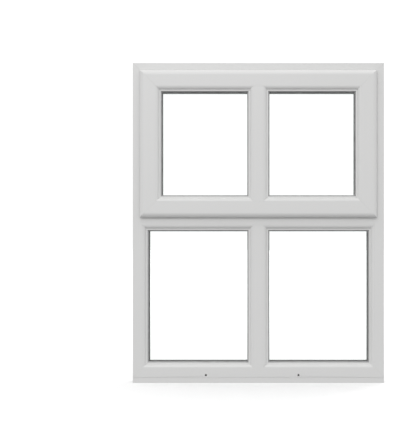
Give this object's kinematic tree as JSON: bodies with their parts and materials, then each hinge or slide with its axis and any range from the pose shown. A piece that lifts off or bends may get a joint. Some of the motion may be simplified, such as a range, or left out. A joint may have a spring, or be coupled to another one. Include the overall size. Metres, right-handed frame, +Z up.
{
  "type": "casement window",
  "caption": "White double-glazed window: a top-hung casement that opens outwards on friction stays, over fixed lights, with a handle-driven lock.",
  "frame": {"origin": "middle of the underside of the base profile, at half the frame's depth", "axes": "+X right as seen from outside, -Y outside, +Z up"},
  "size_m": [0.915, 0.116, 1.165],
  "materials": {
    "white_pvc": "satin white extruded PVC-U",
    "bead_pvc": "satin white extruded bead",
    "glass": "clear float glass",
    "gasket": "matt extruded rubber",
    "zinc_steel": "galvanised",
    "spacer": "mill",
    "packer": "moulded",
    "stainless": "brushed stainless",
    "shoe_brass": "plain",
    "handle_white": "powder coated",
    "button": "moulded"
  },
  "bodies": {
    "root": {"frame_head": "white_pvc", "frame_sill": "white_pvc", "frame_jamb_left": "white_pvc", "frame_jamb_right": "white_pvc", "transom": "white_pvc", "mullion": "white_pvc", "base_profile": "white_pvc", "fixed_beads_left": "bead_pvc", "fixed_beads_right": "bead_pvc", "fixed_outer_pane_left": "glass", "fixed_outer_pane_right": "glass", "fixed_inner_pane_left": "glass", "fixed_inner_pane_right": "glass", "frame_seal": "gasket", "fixed_outer_gaskets": "gasket", "fixed_inner_gaskets": "gasket", "frame_steel": "zinc_steel", "bar_steel": "zinc_steel", "frame_screws": "zinc_steel", "fixed_spacers": "spacer", "fixed_packers": "packer", "stay_track_left": "stainless", "stay_track_right": "stainless", "lock_keeps": "stainless"},
    "sash": {"sash_rail_top": "white_pvc", "sash_rail_bottom": "white_pvc", "sash_stile_left": "white_pvc", "sash_stile_right": "white_pvc", "glazing_bar": "white_pvc", "sash_beads_left": "bead_pvc", "sash_beads_right": "bead_pvc", "sash_outer_pane_left": "glass", "sash_outer_pane_right": "glass", "sash_inner_pane_left": "glass", "sash_inner_pane_right": "glass", "sash_seal": "gasket", "sash_outer_gaskets": "gasket", "sash_inner_gaskets": "gasket", "sash_steel": "zinc_steel", "sash_screws": "zinc_steel", "lock_gearbox": "zinc_steel", "sash_spacers": "spacer", "sash_packers": "packer", "stay_bar_left": "stainless", "stay_bar_right": "stainless", "lock_faceplate": "stainless", "handle_base": "handle_white"},
    "long_arm_left": {"stay_long_arm_left": "stainless"},
    "link_left": {"stay_link_left": "stainless"},
    "short_arm_left": {"stay_short_arm_left": "stainless"},
    "shoe_left": {"stay_shoe_left": "shoe_brass"},
    "long_arm_right": {"stay_long_arm_right": "stainless"},
    "link_right": {"stay_link_right": "stainless"},
    "short_arm_right": {"stay_short_arm_right": "stainless"},
    "shoe_right": {"stay_shoe_right": "shoe_brass"},
    "handle": {"handle_lever": "handle_white", "handle_spindle": "zinc_steel"},
    "lock_bar": {"lock_bar": "stainless"},
    "lock_button": {"lock_button": "button"}
  },
  "joints": [
    {"name": "sash_swing", "type": "hinge", "parent": "long_arm_left", "child": "sash", "pos_m": [-0.4151, -0.015, 1.018], "axis": [-1, 0, 0], "range_deg": [0, 90]},
    {"name": "long_arm_left_turn", "type": "hinge", "parent": "root", "child": "long_arm_left", "pos_m": [-0.4151, -0.015, 0.878], "axis": [1, 0, 0], "range_deg": [0, 45]},
    {"name": "link_left_turn", "type": "hinge", "parent": "long_arm_left", "child": "link_left", "pos_m": [-0.4151, -0.015, 0.968], "axis": [-1, 0, 0], "range_deg": [0, 90]},
    {"name": "short_arm_left_turn", "type": "hinge", "parent": "sash", "child": "short_arm_left", "pos_m": [-0.4151, -0.015, 1.108], "axis": [1, 0, 0], "range_deg": [0, 90]},
    {"name": "shoe_left_turn", "type": "hinge", "parent": "short_arm_left", "child": "shoe_left", "pos_m": [-0.4151, -0.015, 1.058], "axis": [-1, 0, 0], "range_deg": [0, 45]},
    {"name": "long_arm_right_turn", "type": "hinge", "parent": "root", "child": "long_arm_right", "pos_m": [0.4151, -0.015, 0.878], "axis": [1, 0, 0], "range_deg": [0, 45]},
    {"name": "link_right_turn", "type": "hinge", "parent": "long_arm_right", "child": "link_right", "pos_m": [0.4151, -0.015, 0.968], "axis": [-1, 0, 0], "range_deg": [0, 90]},
    {"name": "short_arm_right_turn", "type": "hinge", "parent": "sash", "child": "short_arm_right", "pos_m": [0.4151, -0.015, 1.108], "axis": [1, 0, 0], "range_deg": [0, 90]},
    {"name": "shoe_right_turn", "type": "hinge", "parent": "short_arm_right", "child": "shoe_right", "pos_m": [0.4151, -0.015, 1.058], "axis": [-1, 0, 0], "range_deg": [0, 45]},
    {"name": "handle_turn", "type": "hinge", "parent": "sash", "child": "handle", "pos_m": [0, 0.01, 0.65], "axis": [0, -1, 0], "range_deg": [0, 90]},
    {"name": "lock_bar_slide", "type": "slide", "parent": "sash", "child": "lock_bar", "axis": [1, 0, 0], "range_m": [0, 0.02]},
    {"name": "lock_button_press", "type": "slide", "parent": "handle", "child": "lock_button", "axis": [0, -1, 0], "range_m": [0, 0.003], "stiffness_N_per_m": 400, "springref_m": -0.002}
  ],
  "couplings": [
    {"joint": "long_arm_left_turn", "follows": "sash_swing", "ratio": 0.5},
    {"joint": "link_left_turn", "follows": "sash_swing", "ratio": 1},
    {"joint": "short_arm_left_turn", "follows": "sash_swing", "ratio": 1},
    {"joint": "shoe_left_turn", "follows": "sash_swing", "ratio": 0.5},
    {"joint": "long_arm_right_turn", "follows": "sash_swing", "ratio": 0.5},
    {"joint": "link_right_turn", "follows": "sash_swing", "ratio": 1},
    {"joint": "short_arm_right_turn", "follows": "sash_swing", "ratio": 1},
    {"joint": "shoe_right_turn", "follows": "sash_swing", "ratio": 0.5},
    {"joint": "lock_bar_slide", "follows": "handle_turn", "m_per_rad": 0.012732}
  ]
}
